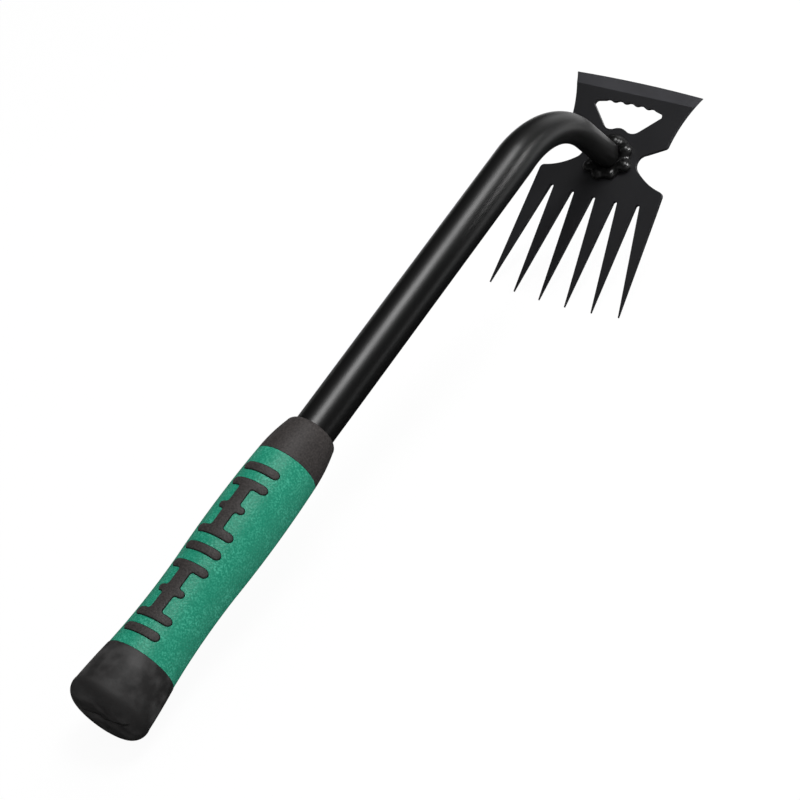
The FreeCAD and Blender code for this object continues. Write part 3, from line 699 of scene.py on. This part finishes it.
def rib_tree():
    """Build the tree that repeats the flat ribs and bends them onto the grip, above and below."""
    tree, add, given = new_geometry_tree("ribs_on_grip", {
        "Bar": "Object", "Beam": "Object", "Skin": "Object", "Bars": "Int", "Beams": "Int",
        "First bar": "Float", "Bar pitch": "Float", "First beam": "Float", "Beam pitch": "Float",
        "Reach": "Float", "Material": "Material"})
    rows = []
    for shape, count, first, pitch in (("Bar", "Bars", "First bar", "Bar pitch"),
                                       ("Beam", "Beams", "First beam", "Beam pitch")):
        start = add("ShaderNodeCombineXYZ", {"Z": given[first]})
        step = add("ShaderNodeCombineXYZ", {"Z": given[pitch]})
        line = add("GeometryNodeMeshLine", {"Count": given[count], "Start Location": start, "Offset": step})
        flat = add("GeometryNodeObjectInfo", {"Object": given[shape]})
        rows.append(add("GeometryNodeInstanceOnPoints", {
            "Points": line, "Instance": flat.outputs["Geometry"]}))
    real = add("GeometryNodeRealizeInstances", {0: add("GeometryNodeJoinGeometry", {0: rows})})

    # each point drops onto the skin, stands out from it by its height, and sinks straight down
    here = add("GeometryNodeInputPosition")
    across, height, along = add("ShaderNodeSeparateXYZ", {0: here}).outputs
    above = add("ShaderNodeCombineXYZ", {"X": across, "Y": given["Reach"], "Z": along})
    skin = add("GeometryNodeObjectInfo", {"Object": given["Skin"]})
    ray = add("GeometryNodeRaycast", {
        "Target Geometry": skin.outputs["Geometry"], "Source Position": above,
        "Ray Direction": (0, -1, 0), "Ray Length": given["Reach"]})
    hit = ray.outputs["Hit Position"]
    flattened = add("ShaderNodeVectorMath", {0: hit, 1: (1, 1, 0)}, operation="MULTIPLY")
    outwards = add("ShaderNodeVectorMath", {0: flattened}, operation="NORMALIZE")
    rise = add("ShaderNodeMath", {0: height, 1: 0.0}, operation="MAXIMUM")
    sink = add("ShaderNodeMath", {0: height, 1: 0.0}, operation="MINIMUM")
    raised = add("ShaderNodeVectorMath", {0: outwards, "Scale": rise}, operation="SCALE")
    sunk = add("ShaderNodeCombineXYZ", {"Y": sink})
    outer = add("ShaderNodeVectorMath", {0: hit, 1: raised}, operation="ADD")
    final = add("ShaderNodeVectorMath", {0: outer, 1: sunk}, operation="ADD")
    bent = add("GeometryNodeSetPosition", {0: real, "Position": final})

    under = add("GeometryNodeTransform", {0: bent, "Rotation": (0, 0, math.pi)})
    end_geometry_tree(add, add("GeometryNodeJoinGeometry", {0: [bent, under]}), given["Material"])
    return tree


# ---- tube and weld

def tube_path(tube):
    """Return the tube's centre line, in the plate's frame, as a curve object."""
    # the handle with which a Bezier curve follows a round bend
    handle = 4 / 3 * math.tan(tube.bend / 4) * tube.bend_radius
    along = shank_direction(tube)
    out = Vector((0, -1, 0))
    end = bend_end(tube)
    run = tube.shank + tube.inside
    line = bpy.data.curves.new("tube_path", "CURVE")
    line.dimensions = "3D"
    line.resolution_u = TUBE_STEPS
    spline = line.splines.new("BEZIER")
    spline.bezier_points.add(3)
    neck_end = out * tube.neck
    knots = ((Vector((0, 0, 0)), out, tube.neck / 3, tube.neck / 3, tube.foot),
             (neck_end, out, tube.neck / 3, handle, tube.throat),
             (end, along, handle, run / 3, tube.outer),
             (end + along * run, along, run / 3, run / 3, tube.outer))
    for point, (place, heading, before, after, width) in zip(spline.bezier_points, knots):
        point.radius = width / tube.outer
        point.handle_left_type = point.handle_right_type = "FREE"
        point.co = place
        point.handle_left = place - heading * before
        point.handle_right = place + heading * after
    return linked("tube_path", line)


def tube_tree():
    """Build the tree that sweeps a round section along a path and closes its ends."""
    tree, add, given = new_geometry_tree("swept_tube", {
        "Path": "Object", "Radius": "Float", "Sides": "Int", "Material": "Material"})
    path = add("GeometryNodeObjectInfo", {"Object": given["Path"]})
    ring = add("GeometryNodeCurvePrimitiveCircle", {"Resolution": given["Sides"], "Radius": given["Radius"]})
    width = add("GeometryNodeInputRadius")
    swept = add("GeometryNodeCurveToMesh", {
        "Curve": path.outputs["Geometry"], "Profile Curve": ring, "Scale": width, "Fill Caps": True})
    end_geometry_tree(add, swept, given["Material"])
    return tree


def weld_spots(head):
    """Return the middles of the weld's lumps as points that carry their sizes."""
    spots = bpy.data.meshes.new("weld_spots")
    places = []
    for clock, distance, share in WELD_LUMPS:
        turn = math.radians(clock)
        places.append((distance * MM * math.sin(turn), distance * MM * math.cos(turn),
                       head.weld_lump * share * LUMP_OUT))
    spots.from_pydata(places, [], [])
    size = spots.attributes.new("size", "FLOAT", "POINT")
    size.data.foreach_set("value", [share for clock, distance, share in WELD_LUMPS])
    return linked("weld_spots", spots)


def weld_tree():
    """Build the tree that melts a ring and uneven lumps into one bead."""
    tree, add, given = new_geometry_tree("weld_bead", {
        "Spots": "Object", "Ring": "Float", "Thickness": "Float", "Lump": "Float",
        "Voxel": "Float", "Material": "Material"})
    ring = add("GeometryNodeCurvePrimitiveCircle", {"Resolution": TUBE_SIDES, "Radius": given["Ring"]})
    section = add("GeometryNodeCurvePrimitiveCircle", {
        "Resolution": TUBE_SIDES // 4, "Radius": given["Thickness"]})
    torus = add("GeometryNodeCurveToMesh", {"Curve": ring, "Profile Curve": section})
    spots = add("GeometryNodeObjectInfo", {"Object": given["Spots"]})
    size = add("GeometryNodeInputNamedAttribute", {"Name": "size"}, data_type="FLOAT")
    ball = add("GeometryNodeMeshIcoSphere", {"Radius": given["Lump"], "Subdivisions": 4})
    lumps = add("GeometryNodeInstanceOnPoints", {
        "Points": spots.outputs["Geometry"], "Instance": ball, "Scale": size})
    real = add("GeometryNodeRealizeInstances", {0: add("GeometryNodeJoinGeometry", {0: [torus, lumps]})})
    volume = add("GeometryNodeMeshToVolume", {
        0: real, "Voxel Size": given["Voxel"], "Interior Band Width": 2 * MM}, resolution_mode="VOXEL_SIZE")
    skin = add("GeometryNodeVolumeToMesh", {
        0: volume, "Voxel Size": given["Voxel"]}, resolution_mode="VOXEL_SIZE")
    here = add("GeometryNodeInputPosition")
    softened = add("GeometryNodeBlurAttribute", {
        "Value": here, "Iterations": MELT_ROUNDS}, data_type="FLOAT_VECTOR")
    melted = add("GeometryNodeSetPosition", {0: skin, "Position": softened})
    # specks that the melting shrinks to a point are merged away
    merged = add("GeometryNodeMergeByDistance", {0: melted, "Distance": 0.005 * MM})
    end_geometry_tree(add, merged, given["Material"])
    return tree


# ---- stage

def studio_paper(settings, reach):
    """Return white paper that keeps the part's shadow, and that the part mirrors as dark cards."""
    finishes = settings.finishes
    material = bpy.data.materials.new("white_studio_paper")
    add = node_adder(material)
    ray = add("ShaderNodeLightPath")
    place = add("ShaderNodeTexCoord").outputs["Object"]
    away = add("ShaderNodeVectorMath", {0: place}, operation="LENGTH")
    near = add("ShaderNodeMapRange", {
        "Value": away.outputs["Value"], "From Min": reach * 0.6, "From Max": reach * 0.8,
        "To Min": 1.0, "To Max": 0.0})
    carded = add("ShaderNodeMath", {0: ray.outputs["Is Glossy Ray"], 1: near}, operation="MULTIPLY")
    paper = add("ShaderNodeBsdfDiffuse", {"Color": blended(add, carded, finishes.floor, finishes.cards)})
    glow = add("ShaderNodeEmission")
    seen = add("ShaderNodeMath", {
        0: ray.outputs["Is Camera Ray"], 1: settings.stage.glow}, operation="MULTIPLY")
    mixed = add("ShaderNodeMixShader", {0: seen, 1: paper, 2: glow})
    add("ShaderNodeOutputMaterial", {"Surface": mixed})
    return material


def area_light(name, power, width, place, position):
    """Hang a square lamp at a position, shining back along the direction of its place."""
    lamp = bpy.data.lights.new(name, "AREA")
    lamp.energy = power
    lamp.size = width
    light = linked(name, lamp)
    light.location = position
    light.rotation_euler = (-place).to_track_quat("-Z", "Y").to_euler()
    return light


# ---- operators

class MakePlate(bpy.types.Operator):
    """Round the plate's cut edges as its coating does"""
    bl_idname = "cultivator.make_plate"
    bl_label = "Head plate"

    def execute(self, context):
        settings = context.scene.cultivator
        shape = bmesh.new()
        shape.from_mesh(frame["nodes"]["head_plate"].data)
        bmesh.ops.remove_doubles(shape, verts=shape.verts, dist=0.001 * MM)
        bmesh.ops.dissolve_limit(shape, angle_limit=FLAT, verts=shape.verts, edges=shape.edges)
        sharp = [edge for edge in shape.edges if edge.calc_face_angle(0) > SHARP]
        bmesh.ops.bevel(shape, geom=sharp, offset=settings.head.edge_round, segments=2,
                        profile=0.5, affect="EDGES", clamp_overlap=True)
        # broad faces stay flat, and the rounded edges and the curved cuts shade smoothly
        for face in shape.faces:
            face.smooth = face.calc_area() < BROAD
        material = painted_steel(settings.finishes, settings.head)
        plate = new_piece("plate", mesh_of("plate", shape), material)
        finish_piece(plate, "coated_steel_plate", "head_plate")
        return {"FINISHED"}


class MakeWeld(bpy.types.Operator):
    """Lay the weld bead round the tube's foot"""
    bl_idname = "cultivator.make_weld"
    bl_label = "Weld bead"

    def execute(self, context):
        settings = context.scene.cultivator
        head = settings.head
        bead = grown("weld", weld_tree(), {
            "Spots": weld_spots(head), "Ring": head.weld_ring, "Thickness": head.weld_thick,
            "Lump": head.weld_lump, "Voxel": head.voxel, "Material": pooled_enamel(settings.finishes)},
            plate_frame(head) @ Matrix.Rotation(math.radians(90), 4, "X"))
        finish_piece(bead, "weld_metal", "weld_bead")
        return {"FINISHED"}


class MakeTube(bpy.types.Operator):
    """Sweep the bent tube"""
    bl_idname = "cultivator.make_tube"
    bl_label = "Tube"

    def execute(self, context):
        settings = context.scene.cultivator
        tube = grown("tube", tube_tree(), {
            "Path": tube_path(settings.tube), "Radius": settings.tube.outer / 2, "Sides": TUBE_SIDES,
            "Material": painted_tube(settings.finishes)}, plate_frame(settings.head))
        finish_piece(tube, "coated_steel_tube", "handle_tube")
        return {"FINISHED"}


class MakeCore(bpy.types.Operator):
    """Turn the collar and the hard core that runs on under the sleeve"""
    bl_idname = "cultivator.make_core"
    bl_label = "Collar and core"

    def execute(self, context):
        settings = context.scene.cultivator
        grip = settings.grip
        nose = (grip.nose_back / 2, grip.nose_length)
        back = (grip.collar_back / 2, grip.collar_length)
        front = (grip.nose_front / 2, 0)
        bulge = grip.nose_length * NOSE_BULGE
        middle = (grip.collar_mid / 2, (grip.nose_length + grip.collar_length) / 2)
        core = grip.core / 2
        bore = settings.tube.outer / 2
        profile = [(bore, 0), front]
        profile += arc(front, (nose[0] - bulge, bulge), nose, NOSE_STEPS)
        profile += arc(nose, middle, back, COLLAR_STEPS)[:-1]
        profile += corner_round(middle, back, (core, back[1]), COLLAR_EDGE)
        profile += [(core, back[1]), (core, grip.sleeve_end), (bore, grip.sleeve_end)]
        mesh = turned_mesh("collar", profile, AROUND)
        mesh.transform(grip_frame(settings))
        collar = new_piece("collar", mesh, textured_polymer(settings.finishes))
        finish_piece(collar, "black_polymer", "grip_core")
        return {"FINISHED"}


class MakeRibs(bpy.types.Operator):
    """Raise the black bars and beams through the sleeve, above and below"""
    bl_idname = "cultivator.make_ribs"
    bl_label = "Ribs"

    def execute(self, context):
        settings = context.scene.cultivator
        ribs = settings.ribs
        grip = settings.grip
        inner = [(grip.core / 2, grip.sleeve_end), (grip.core / 2, grip.collar_length)]
        skin = turned_mesh("skin", sleeve_line(grip) + inner, 2 * AROUND)
        raised = grown("ribs", rib_tree(), {
            "Bar": flat_rib("bar", bar_quarter, ribs), "Beam": flat_rib("beam", beam_quarter, ribs),
            "Skin": linked("skin", skin), "Bars": ribs.bars, "Beams": ribs.beams,
            "First bar": ribs.bar_first, "Bar pitch": ribs.bar_pitch,
            "First beam": ribs.beam_first, "Beam pitch": ribs.beam_pitch,
            "Reach": grip.cap_wide, "Material": bpy.data.materials["moulded_polypropylene"]},
            grip_frame(settings))
        finish_piece(raised, "black_polymer", "grip_core")
        return {"FINISHED"}


class FinishSleeve(bpy.types.Operator):
    """Give the sleeve its pebbled green rubber"""
    bl_idname = "cultivator.finish_sleeve"
    bl_label = "Green sleeve"

    def execute(self, context):
        sleeve = frame["nodes"]["grip_sleeve"]
        sleeve.data.materials.clear()
        sleeve.data.materials.append(pebbled_rubber(context.scene.cultivator.finishes))
        return {"FINISHED"}


class MakeCap(bpy.types.Operator):
    """Turn the flared butt cap"""
    bl_idname = "cultivator.make_cap"
    bl_label = "Butt cap"

    def execute(self, context):
        settings = context.scene.cultivator
        grip = settings.grip
        bore = settings.tube.outer / 2
        socket = settings.tube.inside + SOCKET_GAP
        lip = (grip.cap_lip / 2, grip.sleeve_end)
        wide = (grip.cap_wide / 2, grip.cap_wide_at)
        face = (grip.cap_face / 2, grip.full)
        side = arc(lip, (grip.cap_mid / 2, grip.cap_mid_at), wide, CAP_STEPS)
        profile = [(bore, grip.sleeve_end)] + corner_round((bore, lip[1]), lip, side[1], CAP_EDGE)
        profile += side[1:]
        profile += arc(wide, (grip.cap_corner / 2, grip.cap_corner_at), face, CAP_STEPS)
        # the first ring here keeps the corner's shading off the flat face
        profile += [(face[0] * 0.6, grip.full), (0, grip.full), (0, socket), (bore, socket)]
        mesh = turned_mesh("cap", profile, AROUND)
        mesh.transform(grip_frame(settings))
        cap = new_piece("cap", mesh, scuffed_rubber(settings))
        finish_piece(cap, "black_rubber", "butt_cap")
        return {"FINISHED"}


class SetStage(bpy.types.Operator):
    """Set the floor, the studio light and the camera"""
    bl_idname = "cultivator.set_stage"
    bl_label = "Stage"

    def execute(self, context):
        settings = context.scene.cultivator
        stage = settings.stage
        middle = (CAD_BOX[0] + CAD_BOX[1]) / 2
        reach = (CAD_BOX[1] - CAD_BOX[0]).length
        shape = bmesh.new()
        bmesh.ops.create_grid(shape, x_segments=1, y_segments=1, size=FLOOR_REACH * reach)
        mesh = mesh_of("floor", shape)
        material = studio_paper(settings, reach)
        new_piece("floor", mesh, material)

        # the room: white where the camera sees past the floor, an even soft light elsewhere
        world = context.scene.world or bpy.data.worlds.new("studio")
        context.scene.world = world
        add = node_adder(world)
        ray = add("ShaderNodeLightPath")
        shaded = add("ShaderNodeMix", {
            "Factor": ray.outputs["Is Glossy Ray"], 2: stage.ambient, 3: stage.mirrored})
        level = add("ShaderNodeMix", {"Factor": ray.outputs["Is Camera Ray"], 2: shaded, 3: 1.0})
        sky = add("ShaderNodeBackground", {"Strength": level})
        add("ShaderNodeOutputWorld", {"Surface": sky})

        for name, power, width, towards in (
                ("key_light", stage.key_power, 0.48, (0.21, 0.19, 0.95)),
                ("back_light", stage.back_power, 0.8, (-0.02, 0.72, 0.7)),
                ("fill_light", stage.fill_power, 0.8, (0.9, -0.2, 0.7))):
            place = Vector(towards)
            light = area_light(name, power, width, place, middle + place.normalized() * LAMPS_AT)
            light.visible_glossy = name == "key_light"

        # two small gridded lights: one picks out the weld, one draws the rim of the bend
        head_at = plate_frame(settings.head).translation
        for name, power, width, spread, away, towards in (
                ("accent_light", stage.accent_power, 0.12, 30, 0.3, (0.84, 0.27, 0.48)),
                ("rim_light", stage.rim_power, 0.5, 60, 0.7, (-0.05, 0.95, 0.3))):
            place = Vector(towards)
            light = area_light(name, power, width, place, head_at + place * away)
            light.data.spread = math.radians(spread)
            light.visible_camera = False

        sight = Vector((math.sin(stage.azimuth) * math.cos(stage.elevation),
                        math.cos(stage.azimuth) * math.cos(stage.elevation),
                        -math.sin(stage.elevation)))
        level_right = sight.cross(Vector((0, 0, 1))).normalized()
        level_up = level_right.cross(sight)
        up = level_up * math.cos(stage.roll) + level_right * math.sin(stage.roll)
        lens = bpy.data.cameras.new("camera")
        lens.lens = stage.focal
        lens.clip_end = 100.0
        camera = linked("camera", lens)
        turn = Matrix((sight.cross(up), up, -sight)).transposed().to_4x4()
        camera.matrix_world = Matrix.Translation(middle + Vector(stage.aim) - sight * stage.distance) @ turn
        context.scene.camera = camera
        context.scene.view_settings.view_transform = "Standard"
        return {"FINISHED"}


class CultivatorPanel(bpy.types.Panel):
    """Lists the part's operators and settings"""
    bl_idname = "VIEW3D_PT_cultivator"
    bl_label = "Hand cultivator"
    bl_space_type = "VIEW_3D"
    bl_region_type = "UI"
    bl_category = "Cultivator"

    def draw(self, context):
        layout = self.layout
        for operator in OPERATORS:
            layout.operator(operator.bl_idname)
        settings = context.scene.cultivator
        for group in (settings.head, settings.tube, settings.grip, settings.ribs,
                      settings.finishes, settings.stage):
            box = layout.box()
            for name in group.bl_rna.properties.keys():
                if name not in ("rna_type", "name"):
                    box.prop(group, name)


GROUPS = (HeadSizes, TubeSizes, GripSizes, RibSizes, Finishes, StageSettings, CultivatorSettings)
OPERATORS = (MakePlate, MakeWeld, MakeTube, MakeCore, MakeRibs, FinishSleeve, MakeCap, SetStage)


def register():
    """Register the settings, the operators and the panel."""
    for item in GROUPS + OPERATORS + (CultivatorPanel,):
        bpy.utils.register_class(item)
    bpy.types.Scene.cultivator = bpy.props.PointerProperty(type=CultivatorSettings)


def unregister():
    """Remove the settings, the operators and the panel."""
    del bpy.types.Scene.cultivator
    for item in reversed(GROUPS + OPERATORS + (CultivatorPanel,)):
        bpy.utils.unregister_class(item)


def main():
    """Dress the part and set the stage."""
    register()
    bpy.ops.cultivator.make_plate()
    bpy.ops.cultivator.make_weld()
    bpy.ops.cultivator.make_tube()
    bpy.ops.cultivator.make_core()
    bpy.ops.cultivator.make_ribs()
    bpy.ops.cultivator.finish_sleeve()
    bpy.ops.cultivator.make_cap()
    bpy.ops.cultivator.set_stage()


if __name__ == "__main__":
    main()
